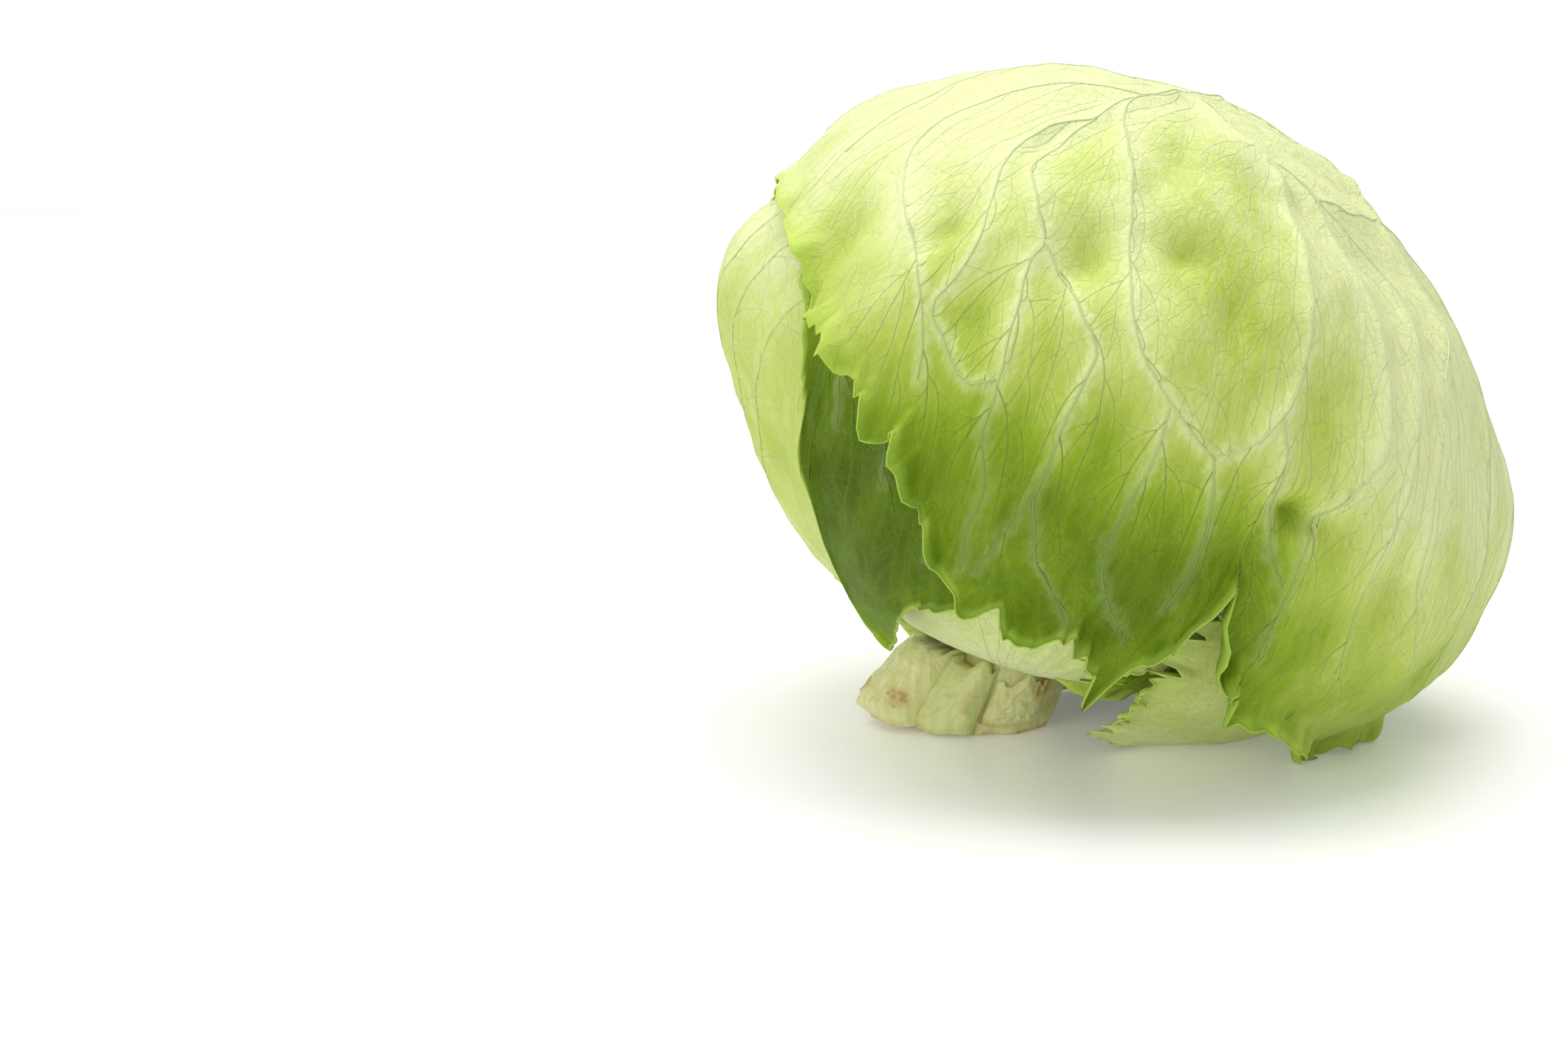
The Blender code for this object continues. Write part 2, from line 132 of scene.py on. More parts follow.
def hashed(cell, seed):
    """A repeatable random number between -1 and 1 for each whole-number cell."""
    mixed = cell @ np.array([73856093, 19349663, 83492791]) + seed * 2654435761
    mixed = ((mixed ^ (mixed >> 13)) * 1274126177) & 0xFFFFFFFF
    return ((mixed ^ (mixed >> 15)) % 65536) / 32768 - 1


def noise(points, size, seed=0):
    """Smooth noise between about -1 and 1, with a bump about every `size` millimetres."""
    place = points / size + 1000
    cell = np.floor(place).astype(np.int64)
    ease = smooth(place - cell)
    total = 0
    for corner in np.ndindex(2, 2, 2):
        weight = np.prod(np.where(corner, ease, 1 - ease), axis=-1)
        total += weight * hashed(cell + np.array(corner), seed)
    return total


def noise_along(lengths, size, seed=0):
    """The same noise along a line."""
    points = np.zeros((*np.shape(lengths), 3))
    points[..., 0] = lengths
    return noise(points, size, seed)


@dataclass
class Leaf:
    """One leaf. Its outline is (turn, span) pairs in degrees around its centre, turn 0 towards the stem."""

    node: str
    slot: str
    centre: tuple
    outline: list
    step: float
    base_rise: float | None = None
    base_turn: float = 0.0
    base_spread: float = 10.0
    shoulder: float = 10.0
    rib_half_angle: float = 20.0
    on_floor: bool = False
    sectors: int = 240
    rings: int = 56
    teeth: float = 1.0
    ruffle: float = 1.5
    calm: tuple | None = None
    curls: list = field(default_factory=list)
    pale: float = 0.0
    vein_kinds: int = 2
    girth: float = 1.0
    seed: int = 0

    @property
    def inset(self):
        return self.step * LAYER

    @property
    def base_drop(self):
        return BASE_DROP - self.base_rise * BASE_THICKNESS


CROWN_LEAF = Leaf(
    node="crown_wrapper_leaf", slot="wrapper", centre=(0, 0),
    outline=[
        (-150, 124), (-122, 92), (-100, 77), (-88, 75), (-80, 77), (-70, 79), (-64, 81), (-59, 88),
        (-52, 88), (-46, 91), (-42, 94), (-39, 98), (-34.5, 96), (-32, 99), (-30, 104), (-27, 105),
        (-24, 110), (-21, 115), (-18, 117), (-13, 115), (-9, 118), (-6, 118), (-3, 113), (1, 114),
        (5, 118), (7.5, 126), (10, 113), (13, 109), (15, 103), (16.5, 96), (18, 104), (21, 109),
        (25, 112), (29, 118), (33, 115), (42, 118), (50, 119), (56, 121), (60, 125), (65, 123), (70, 117),
        (90, 116), (125, 118), (148, 132),
    ],
    step=0, base_turn=180, base_spread=26, shoulder=34, rib_half_angle=32, vein_kinds=3,
    sectors=470, rings=104, teeth=1.5, ruffle=2.5, calm=(-96, 30),
    curls=[
        (-40, 2.5, 2.6), (-30.5, 1.5, 2.2), (-24.5, 1.6, 3.4), (-19, 1.5, 2.4), (7, 4, 1.6), (14.5, 1.8, 3.0),
        (18.5, 1.6, 3.6), (22, 1.8, 3.0), (33, 3, 2.2), (47, 3, 2.0), (60, 3.5, 5.0), (65, 2.5, 3.6),
    ],
)

FRONT_LEFT_LEAF = Leaf(
    node="front_left_wrapper_leaf", slot="shaded", centre=(0, 0),
    outline=[
        (-170, 100), (-120, 66), (-85, 66), (-72, 76), (-63, 87), (-57, 98), (-53, 112), (-51.5, 130),
        (-50, 143), (-46, 147), (-41, 143), (-36, 137), (-34, 131), (-28, 124), (-10, 112), (20, 100),
        (50, 78), (90, 76), (120, 94), (180, 108),
    ],
    step=1, base_rise=0, base_turn=152, base_spread=20, shoulder=40, rib_half_angle=32, sectors=420,
    rings=72, ruffle=0.5, seed=3,
)

RIGHT_LEAF = Leaf(
    node="right_wrapper_leaf", slot="base", centre=(100, 70),
    outline=[
        (-85, 50), (-66, 52), (-45, 53), (-26, 56), (30, 36), (60, 24), (120, 25), (180, 48), (-125, 48),
    ],
    step=2, on_floor=True, sectors=420, teeth=2.6, ruffle=0.6, girth=0.6, pale=0.72, seed=5,
)

LEFT_LEAF = Leaf(
    node="left_wrapper_leaf", slot="wrapper", centre=(85, -95),
    outline=[(-40, 54), (-90, 58), (-140, 56), (180, 54), (130, 52), (80, 50), (45, 58)], step=2,
    base_rise=0.4, base_turn=-6, ruffle=0.3, girth=0.6, pale=0.55, seed=7,
)

FRONT_LEAF = Leaf(
    node="front_base_leaf", slot="base", centre=(90, -5),
    outline=[
        (-70, 78), (-45, 86), (-26, 82), (24, 42), (45, 40), (90, 46), (140, 60), (180, 66), (-140, 64),
        (-95, 62),
    ],
    step=3, base_rise=0.3, ruffle=0.3, vein_kinds=1, girth=0.35, pale=0.85, seed=9,
)

BACK_LEAF = Leaf(
    node="back_wrapper_leaf", slot="wrapper", centre=(88, -160),
    outline=[(-40, 60), (-90, 58), (-140, 60), (180, 64), (140, 60), (90, 56), (40, 50)], step=3,
    base_rise=2, ruffle=0.3, pale=0.4, seed=11,
)

TORN_LEAF = Leaf(
    node="torn_front_leaf", slot="shaded", centre=(115, 42),
    outline=[
        (-75, 25), (-60, 33), (-48, 27), (-36, 35), (-24, 28), (-10, 33), (10, 32), (35, 30), (60, 30),
        (110, 30), (180, 30), (-120, 24), (-90, 20),
    ],
    step=3.5, base_rise=-2.3, base_turn=8, sectors=300, teeth=3.4, ruffle=1.2, seed=13,
)

LEAVES = [CROWN_LEAF, FRONT_LEFT_LEAF, RIGHT_LEAF, LEFT_LEAF, FRONT_LEAF, BACK_LEAF, TORN_LEAF]

# Main veins on the crown leaf, as (tilt, azimuth) from the crown down. The midrib comes up the back.
VEINS = [
    [(150, 180), (110, 180), (70, 178), (35, 172), (12, 178), (12, -60), (24, -48), (36, -45)],
    [(12, -60), (20, -52), (31, -42), (47, -23), (61, -15), (69, -10), (74, -5), (79, 2), (81, 7)],
    [
        (36, -45), (50, -43), (57, -35), (62, -30), (66, -30), (74, -27), (83, -25), (90, -24), (97, -21),
        (111, -21),
    ],
    [(62, -30), (68, -21), (73, -15), (77, -14), (85, -14), (95, -14), (102, -16), (110, -18)],
    [(95, -14), (103, -11), (107, -7), (112, -2)],
    [(36, -45), (46, -50), (54, -46), (68, -38), (77, -39), (81, -35), (85, -29), (83, -25)],
    [(24, -48), (44, -66), (61, -62), (73, -45), (81, -38), (88, -36)],
    [(12, -60), (24, 8), (40, 15), (56, 17), (66, 17), (72, 15), (78, 11), (81, 7)],
    [(77, -2), (86, -1), (93, -2), (100, -2), (104, 0), (110, 6)],
    [(81, 7), (88, 9), (95, 10), (103, 9)],
    [(72, 15), (79, 17), (88, 19), (95, 24)],
    [(24, 12), (30, 25), (45, 32), (60, 34), (72, 33), (80, 28), (86, 25), (98, 25), (106, 26)],
    [(30, 25), (44, 45), (58, 43), (67, 40), (76, 39), (84, 37), (92, 37), (105, 40)],
    [(30, 60), (48, 58), (60, 50), (68, 47), (78, 45), (90, 47), (101, 53)],
    [(12, 178), (20, 100), (30, 60), (30, 25)],
    [(30, 60), (44, 76), (60, 72), (76, 66), (92, 62), (108, 66)],
    [(20, 100), (40, 98), (60, 92), (80, 84), (100, 80), (112, 84)],
    [(35, 172), (48, 140), (64, 124), (84, 112), (104, 104)],
    [(70, 178), (82, 152), (94, 134), (108, 124)],
    [(110, 180), (112, 160), (117, 145)],
    [(12, 178), (22, -130), (36, -112), (52, -100), (66, -92)],
    [(35, 172), (48, -152), (62, -132), (74, -116), (84, -108)],
    [(70, 178), (82, -158), (94, -142), (104, -132)],
    [(110, 180), (113, -164), (118, -152)],
    [(22, -130), (34, -90), (50, -78), (66, -74)],
]


def leaf_directions(leaf, turn, span):
    """Unit vectors `span` degrees from the leaf's centre, towards `turn`."""
    tilt, azimuth = np.radians(leaf.centre)
    around = math.cos(azimuth) * STEM_FRONT + math.sin(azimuth) * STEM_RIGHT
    centre = math.cos(tilt) * STEM_UP + math.sin(tilt) * around
    down = -math.sin(tilt) * STEM_UP + math.cos(tilt) * around
    side = -math.sin(azimuth) * STEM_FRONT + math.cos(azimuth) * STEM_RIGHT
    turn, span = np.radians(turn), np.radians(span)
    heading = np.cos(turn)[..., None] * down + np.sin(turn)[..., None] * side
    return np.cos(span)[..., None] * centre + np.sin(span)[..., None] * heading


def layer_reach(leaf, towards):
    """Distance in millimetres from the heart to the CAD leaf's outer face along each unit vector."""
    up, right, front = axis_frame(HEAD_LEAN)
    height = HALF_HEIGHT - leaf.inset
    width = HALF_WIDTH - SIDE_SPREAD * leaf.inset
    depth = HALF_DEPTH - DEPTH_SPREAD * leaf.inset
    shares = [towards @ up / height, towards @ right / width, towards @ front / depth]
    skin = np.sqrt(sum(share**2 for share in shares))
    swell = np.zeros(skin.shape)
    if leaf is LEFT_LEAF:
        top_of_bulge = direction(*np.array(BULGE_PLACE))
        apart = np.degrees(np.arccos(np.clip(towards @ top_of_bulge, -1, 1)))
        swell = BULGE_RISE * np.exp(-((apart / BULGE_HALF_WIDTH) ** 2))
    down = np.maximum(-towards[..., 2], 1e-9)
    if leaf.on_floor:
        return np.minimum(1 / skin + swell, HEART_HEIGHT / down)
    floor = HEART_HEIGHT + FLOOR_ROUNDING - leaf.inset
    total = skin**ROUNDING_POWER + (down / floor) ** ROUNDING_POWER
    if leaf.base_rise is not None:
        base_down = -axis_frame(BASE_LEAN)[0]
        total += (np.maximum(towards @ base_down, 0) / leaf.base_drop) ** ROUNDING_POWER
    return total ** (-1 / ROUNDING_POWER) + swell


def span_to_stem(leaf, turn):
    """The span at which the leaf, followed towards `turn`, comes up to the stem's wall."""
    spans = np.arange(40.0, 178.0, 0.25)
    towards = leaf_directions(leaf, np.full(spans.shape, turn), spans)
    points = towards * (layer_reach(leaf, towards) - BASE_THICKNESS)[:, None]
    drop = -points @ STEM_UP
    away = np.linalg.norm(points + drop[:, None] * STEM_UP, axis=1)
    inside = (away < STEM_RADIUS) & (drop > 0)
    return spans[inside.argmax()] if inside.any() else spans[np.where(drop > 0, away, np.inf).argmin()]


def smooth_loop(pairs, turns):
    """The outline's span at each turn: a periodic curve through the pairs that never overshoots them."""
    pairs = sorted(pairs)
    knots = np.array([pairs[-1][0] - 360, *(p[0] for p in pairs), pairs[0][0] + 360], float)
    values = np.array([pairs[-1][1], *(p[1] for p in pairs), pairs[0][1]], float)
    turns = (turns - knots[1]) % 360 + knots[1]
    place = np.clip(np.searchsorted(knots, turns, side="right") - 1, 0, len(knots) - 2)
    part = (turns - knots[place]) / (knots[place + 1] - knots[place])
    eased = part * part * (3 - 2 * part)
    return values[place] + (values[place + 1] - values[place]) * (0.5 * part + 0.5 * eased)


def rim_spans(leaf, turns):
    """The span of the leaf's rim at each turn, and how free the rim is: 0 where it joins the stem."""
    spans = smooth_loop(leaf.outline, turns)
    free = np.ones(len(turns))
    if leaf.on_floor:
        return spans, free
    from_base = wrapped(turns - leaf.base_turn)
    off_base = np.abs(from_base)
    for index in np.flatnonzero(off_base <= leaf.base_spread + leaf.shoulder):
        narrowing = max(0.0, (off_base[index] - leaf.base_spread) / leaf.shoulder)
        nearest = np.clip(from_base[index], -leaf.base_spread, leaf.base_spread)
        to_stem = span_to_stem(leaf, leaf.base_turn + nearest)
        spans[index] = to_stem + (spans[index] - to_stem) * narrowing**0.8
        free[index] = smooth(narrowing)
    return spans, free


# ---- Veins ----------------------------------------------------------------------------------------------

SKIN = 78.0
MM_PER_DEGREE = SKIN * math.pi / 180
FREE_STEPS = 4  # a new side vein's first steps, which may stay close to its own parent
MAIN_STEP = 0.7
MAIN_GIRTH = 0.18  # a vein thicker than this at its root is a main one
HAIR_GIRTH = 0.08  # a vein thinner than this is hair-fine
MAIN_GIRTHS = (0.25, 0.19)
MOST_VEIN_POINTS = 60000

# Side veins, from the widest to the hair-fine: spacing along the parent and clear room beside it, step and
# greatest length in millimetres, angle off the parent, girth at the root, and share of drift down the head.
SIDE_VEINS = [
    (7.5, 3.0, 1.2, 85, 32, 0.16, 0.14),
    (5.5, 2.2, 1.0, 40, 40, 0.105, 0.14),
    (4.4, 1.6, 0.9, 16, 52, 0.07, 0.10),
]


def unit(vectors):
    return vectors / np.maximum(np.linalg.norm(vectors, axis=-1, keepdims=True), 1e-12)


def smooth_line(corners, step):
    """Unit vectors along a smooth line through the corners, `step` millimetres apart."""
    ends = np.vstack([2 * corners[0] - corners[1], corners, 2 * corners[-1] - corners[-2]])
    line = []
    for before, start, end, after in zip(ends, ends[1:], ends[2:], ends[3:]):
        count = max(2, int(np.linalg.norm(end - start) * SKIN / step))
        part = (np.arange(count) / count)[:, None]
        line.append(
            0.5 * (2 * start + (end - before) * part
                   + (2 * before - 5 * start + 4 * end - after) * part**2
                   + (3 * start - before - 3 * end + after) * part**3)
        )
    line.append(corners[-1:])
    line = unit(np.vstack(line))
    sway = unit(np.cross(line, np.gradient(line, axis=0)))
    shift = 0.5 * noise(line * SKIN, 7, 91) + 0.22 * noise(line * SKIN, 2.6, 92)
    return unit(line + sway * shift[:, None] / SKIN)


class Rim:
    """Whether directions are on a leaf."""

    def __init__(self, leaf):
        self.leaf = leaf
        self.turns = np.arange(-180.0, 181.0, 1.0)
        self.spans = rim_spans(leaf, self.turns)[0]
        self.centre = leaf_directions(leaf, np.zeros(1), np.zeros(1))[0]
        self.down = leaf_directions(leaf, np.zeros(1), np.full(1, 90.0))[0]
        self.side = leaf_directions(leaf, np.full(1, 90.0), np.full(1, 90.0))[0]

    def holds(self, towards, margin):
        """Whether each direction is at least `margin` degrees inside the rim."""
        span = np.degrees(np.arccos(np.clip(towards @ self.centre, -1, 1)))
        turn = np.degrees(np.arctan2(towards @ self.side, towards @ self.down))
        return span < np.interp(turn, self.turns, self.spans) - margin


def fan(leaf):
    """Ribs that spread from the foot of a leaf over its blade."""
    foot = 46.0 if leaf.on_floor else span_to_stem(leaf, leaf.base_turn)
    opposite = smooth_loop(leaf.outline, np.array([leaf.base_turn + 180.0]))[0]
    beside = smooth_loop(leaf.outline, np.array([leaf.base_turn + 90.0]))[0]
    lines = []
    for share in (0, -0.22, 0.25, -0.5, 0.48, -0.8, 0.78):
        part = np.linspace(0, 1, 7)
        up = foot - (foot + opposite * (0.92 - 0.35 * abs(share))) * part
        out = share * beside * part**1.2 + 1.5 * np.sign(share)
        turns = leaf.base_turn + np.degrees(np.arctan2(out, up))
        lines.append(smooth_line(leaf_directions(leaf, turns, np.hypot(out, up)), MAIN_STEP))
    return lines


class Web:
    """All the vein points so far, each with the number of the line it is on."""

    def __init__(self, lines):
        self.points = np.zeros((MOST_VEIN_POINTS, 3))
        self.owner = np.zeros(MOST_VEIN_POINTS, int)
        self.count = 0
        self.lines = 0
        for line in lines:
            self.add(line)

    def add(self, line):
        self.points[self.count:self.count + len(line)] = line
        self.owner[self.count:self.count + len(line)] = self.lines
        self.count += len(line)
        self.lines += 1

    def nearest(self, point, but=-1):
        """(distance in millimetres, point) of the nearest vein, leaving out line number `but`."""
        chord = self.points[:self.count] @ point
        if but >= 0:
            chord[self.owner[:self.count] == but] = -1
        best = chord.argmax()
        return math.acos(min(1.0, chord[best])) * SKIN, self.points[best]


def sprout(web, rim, line, number, at, hand, kind, rng):
    """A side vein that leaves a line at a point, drifts down the head, and ends where it meets another."""
    _, room, step, longest, angle, _, drift = kind
    point = line[at]
    ahead = unit(line[at + 1] - line[at - 1])
    across = np.cross(point, ahead) * hand
    slant = math.radians(angle + rng.normal(0, 7))
    heading = math.cos(slant) * ahead + math.sin(slant) * across
    probe = unit(point + heading * 1.5 * room / SKIN)
    if web.nearest(probe, number)[0] < room:
        return None
    path = [point]
    for count in range(int(longest * rng.uniform(0.6, 1.0) / step)):
        down = unit(-STEM_UP + (point @ STEM_UP) * point)
        heading = unit(heading + drift * down + rng.normal(0, 0.045, 3))
        heading = unit(heading - (heading @ point) * point)
        point = unit(point + heading * step / SKIN)
        path.append(point)
        away, other = web.nearest(point, number if count < FREE_STEPS else -1)
        if away < 0.9 * step:
            path.append(other)
            break
        if not rim.holds(point[None], 0.8)[0]:
            break
    return np.array(path) if len(path) > FREE_STEPS + 2 else None


def grow_veins(leaf, main_lines, kinds):
    """A leaf's veins as (line, girth along it), from the main ones down to the finest."""
    rng = np.random.default_rng(21 + leaf.seed)
    rim = Rim(leaf)
    web = Web(main_lines)
    veins = [(line, np.linspace(*MAIN_GIRTHS, len(line))) for line in main_lines]
    parents = [(line, number, MAIN_STEP) for number, line in enumerate(main_lines)]
    for kind in kinds:
        spacing, _, step, *_ = kind
        fresh = []
        for line, number, parent_step in parents:
            stride = max(1, round(spacing / 2 / parent_step))
            hand = 1
            for at in range(1 + stride // 2, len(line) - 1, stride):
                hand = -hand
                if not rim.holds(line[at][None], 1.0)[0]:
                    continue
                path = sprout(web, rim, line, number, at, hand, kind, rng)
                if path is None:
                    continue
                fresh.append((path, web.lines, step))
                web.add(path)
                girth = kind[5] * np.linspace(1, 0.55, len(path))
                path = np.vstack([path[:1], (path[:-2] + 2 * path[1:-1] + path[2:]) / 4, path[-1:]])
                veins.append((unit(path), girth))
        parents = fresh
    return veins


class Nearest:
    """The distance in millimetres along the skin to the nearest point of some lines."""

    def __init__(self, lines):
        points = np.vstack(lines) * SKIN
        self.tree = KDTree(len(points))
        for index, point in enumerate(points):
            self.tree.insert(point, index)
        self.tree.balance()

    def __call__(self, towards):
        return np.array([self.tree.find(point)[2] for point in towards * SKIN])


def folds_and_dents(towards):
    """How far the named swells and dents stand out along each unit vector, in millimetres."""
    tilt, azimuth = polar(towards)
    rise = np.zeros(len(towards))
    for at_tilt, at_azimuth, long, wide, height in SWELLS:
        across = wrapped(azimuth - at_azimuth) * np.sin(np.radians(tilt))
        rise += height * np.exp(-((((tilt - at_tilt) / long) ** 2 + (across / wide) ** 2) ** 0.8))
    return rise


def relief(towards, to_main):
    """How far the skin stands out along each unit vector: dents, puckers and ribs, in millimetres."""
    tilt, azimuth = polar(towards)
    rise = folds_and_dents(towards)
    skin = towards * SKIN
    rise += 0.9 * noise(skin, 24, 1) + 0.65 * noise(skin, 11, 2) + 0.34 * noise(skin, 5.5, 3)
    # The crown is gathered into low folds that run across it.
    crown = smooth((42 - tilt) / 22)
    folds = np.stack([skin @ STEM_RIGHT / 22, skin @ STEM_FRONT / 4.2, skin @ STEM_UP / 9], axis=1)
    rise += 0.6 * crown * noise(folds, 1, 4)
    rise += 0.5 * np.exp(-((to_main / 1.5) ** 2)) + 0.6 * np.exp(-((to_main / 5.0) ** 2))
    return rise - 0.5


# ---- Leaves ---------------------------------------------------------------------------------------------

def add_piece(name, points, faces, material, attributes):
    """A mesh piece from points in millimetres around the heart, with one float attribute per name."""
    mesh = bpy.data.meshes.new(name)
    mesh.from_pydata(((points + HEART) * MM).tolist(), [], faces)
    mesh.materials.append(material)
    for label, values in attributes.items():
        kind = "FLOAT_VECTOR" if values.ndim == 2 else "FLOAT"
        field_name = "vector" if values.ndim == 2 else "value"
        layer = mesh.attributes.new(label, kind, "POINT")
        layer.data.foreach_set(field_name, values.astype(np.float32).ravel())
    mesh.shade_smooth()
    piece = bpy.data.objects.new(name, mesh)
    bpy.context.scene.collection.objects.link(piece)
    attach(piece, "root")
    return piece


def flow(towards):
    """A place on the skin for textures, closer together along the meridians, so patterns run down them."""
    tilt, azimuth = polar(towards)
    tilt, azimuth = np.radians(tilt), np.radians(azimuth)
    out = np.sin(tilt)
    return SKIN * np.stack([out * np.cos(azimuth), out * np.sin(azimuth), 0.5 * tilt], axis=1)


# How pale the blade is at each tilt, from the crown down to the stem. The crown's pale colour carries a
# painted sheen, and the low belly's deeper green carries painted shade under the head.
TONE_TILTS = [0, 35, 60, 80, 95, 110, 125, 160]
TONES = [0.92, 0.82, 0.68, 0.56, 0.36, 0.25, 0.36, 0.5]


def tone_of(leaf, towards):
    """How pale the blade looks at each direction, 0 deep green and 1 nearly white: its own colour, with
    painted shade low on the front, in the dents and on the front-left leaf, and painted light on the swells.
    """
    tilt, azimuth = polar(towards)
    tone = np.interp(tilt, TONE_TILTS, TONES)
    # Darker low on the front: partly the outer leaves' deeper green, partly painted shade under the head's
    # belly.
    front = np.exp(-(((tilt - 98) / 18) ** 2) - ((azimuth + 4) / 30) ** 2)
    right = smooth((azimuth - 14) / 34) * smooth((150 - tilt) / 50)
    left = smooth((-36 - azimuth) / 22) * smooth((azimuth + 125) / 20) * smooth((96 - tilt) / 20)
    back = smooth((np.abs(azimuth) - 130) / 40)
    # Darker in the dents and paler on the swells: painted shade in the hollows and painted light on the
    # rises.
    dents = np.minimum(folds_and_dents(towards), 2)
    tone += -0.15 * front + 0.28 * right + 0.24 * left + 0.1 * back + 0.032 * dents
    skin = towards * SKIN
    tone += 0.07 * noise(skin, 20, 31) + 0.05 * noise(skin, 8, 32)
    foot = smooth((tilt - 128) / 30)
    tone = tone * (1 - leaf.pale) + leaf.pale * 0.95 + 0.3 * foot
    # The front-left leaf is darkened by a flat 0.27: partly its own deeper green, partly painted shade under
    # the crown leaf's rim.
    return np.clip(tone - (0.27 if leaf is FRONT_LEFT_LEAF else 0.0), 0.04, 1)


def build_leaf(leaf, name, to_main_vein, to_side_vein, material):
    """The leaf as a closed thin shell of rings, frilled at the rim, fleshy where it leaves the stem."""
    steps = np.arange(leaf.sectors) * (2 * math.pi / leaf.sectors) - math.pi
    crowding = -0.35 if leaf.centre == (0, 0) else 0.3
    turns = leaf.base_turn + np.degrees(steps - crowding * np.sin(steps))
    rim, free = rim_spans(leaf, turns)
    along = np.concatenate([[0], np.cumsum(np.radians(np.diff(turns)) * np.sin(np.radians(rim[:-1])))]) * SKIN
    seed = 50 + leaf.seed
    if leaf.calm is not None:
        free = free * (1 - 0.85 * np.exp(-((wrapped(turns - leaf.calm[0]) / leaf.calm[1]) ** 4)))
    calm = 0.5 + 0.5 * noise_along(along, 17, seed)
    waves = 1.0 * noise_along(along, 9, seed + 1) + 0.7 * noise_along(along, 4, seed + 2)
    teeth = 1.0 - 2.8 * np.abs(noise_along(along, 2.1, seed + 3))
    rim = rim + free * (waves + leaf.teeth * (0.3 + 1.1 * calm) * teeth) / MM_PER_DEGREE
    roll = np.full(leaf.sectors, 0.0)
    for turn, width, length in leaf.curls:
        roll = np.maximum(roll, length * np.exp(-((wrapped(turns - turn) / width) ** 2)))
    rim = rim + 0.65 * roll / MM_PER_DEGREE
    roll = np.maximum(roll, free * 1.5 * smooth(noise_along(along, 12, seed + 4) * 1.5)) + 1e-3

    parts = 1 - (1 - np.arange(1, leaf.rings + 1) / leaf.rings) ** 1.45
    spans = rim * parts[:, None]
    edge = (rim - spans) * MM_PER_DEGREE
    bend = np.clip(roll - edge, 0, None)
    radius = roll / 2.3
    spans = np.where(bend > 0, rim - (roll - radius * np.sin(bend / radius)) / MM_PER_DEGREE, spans)
    near_rim = smooth((7 - edge) / 7) ** 1.7 * free
    frill = 1.1 + noise_along(along, 4.2, seed + 5) + 0.8 * noise_along(along, 2.2, seed + 6)
    lift = leaf.ruffle * near_rim * frill + np.where(bend > 0, radius * (1 - np.cos(bend / radius)), 0)

    turn_grid = np.broadcast_to(turns, spans.shape)
    towards = leaf_directions(leaf, turn_grid.ravel(), spans.ravel())
    towards = np.vstack([leaf_directions(leaf, np.zeros(1), np.zeros(1)), towards])
    lift = np.concatenate([[0], lift.ravel()])
    edge = np.concatenate([[99], edge.ravel()])
    to_main = to_main_vein(towards)
    # The blade lies on its own layer, but never below the surface that the head stands on.
    grounded = smooth((-towards[:, 2] - 0.55) / 0.2)
    reach = layer_reach(leaf, towards) + relief(towards, to_main) * (1 - 0.8 * grounded) + lift
    floor_gap = 0.05 if leaf.on_floor else FLOOR_GAP + 0.25 * leaf.step
    reach = np.minimum(reach, (HEART_HEIGHT - floor_gap) / np.maximum(-towards[:, 2], 1e-9))
    outer = towards * reach[:, None]
    outer[:, 2] = np.maximum(outer[:, 2], floor_gap - HEART_HEIGHT)

    grid = outer[1:].reshape(leaf.rings, leaf.sectors, 3)
    down = np.gradient(grid, axis=0)
    across = np.roll(grid, -1, axis=1) - np.roll(grid, 1, axis=1)
    normals = unit(np.cross(down, across)).reshape(-1, 3)
    if (normals * outer[1:]).sum(axis=1).mean() < 0:
        normals = -normals
    normals = np.vstack([towards[:1], normals])
    to_stem = np.degrees(np.arccos(np.clip(towards @ -STEM_UP, -1, 1)))
    off_base = np.abs(wrapped(np.concatenate([[leaf.base_turn + 90], turn_grid.ravel()]) - leaf.base_turn))
    flesh = np.clip(1 - to_stem / 62, 0, 1) ** 0.7 * np.exp(-((off_base / leaf.rib_half_angle) ** 2))
    blade = 0.3 + 0.35 * smooth(edge / 6)
    thick = blade + (BASE_THICKNESS - blade) * flesh
    inner = outer - normals * thick[:, None]
    inner[:, 2] = np.maximum(inner[:, 2], floor_gap - HEART_HEIGHT)
    count = len(outer)
    points = np.vstack([outer, inner])
    faces = []
    ring_start = 1 + np.arange(leaf.rings) * leaf.sectors
    for sector in range(leaf.sectors):
        after = (sector + 1) % leaf.sectors
        faces.append((0, 1 + sector, 1 + after))
        faces.append((count, count + 1 + after, count + 1 + sector))
        for near, far in zip(ring_start[:-1], ring_start[1:]):
            quad = (int(near + sector), int(far + sector), int(far + after), int(near + after))
            faces.append(quad)
            faces.append(tuple(count + corner for corner in reversed(quad)))
        last = int(ring_start[-1])
        faces.append((last + sector, count + last + sector, count + last + after, last + after))
    both = lambda values: np.concatenate([values, values])
    # The pale bands beside the main veins fade towards the rim.
    tilt = polar(towards)[0]
    halo = 1 - 0.85 * smooth((tilt - 72) / 24)
    glow = smooth(1 - to_main / 11) * (1 - 0.9 * smooth((tilt - 78) / 24))
    attributes = {
        "to_main": both(to_main),
        "halo": both(halo * leaf.girth),
        "glow": both(glow),
        "to_side": both(to_side_vein(towards)),
        "edge": both(edge),
        "tone": both(tone_of(leaf, towards)),
        "flow": np.vstack([flow(towards)] * 2),
    }
    piece = add_piece(name, points, faces, material, attributes)
    outward = bmesh.new()
    outward.from_mesh(piece.data)
    if outward.calc_volume(signed=True) < 0:
        bmesh.ops.reverse_faces(outward, faces=outward.faces)
        outward.to_mesh(piece.data)
    outward.free()
    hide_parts(leaf.node)


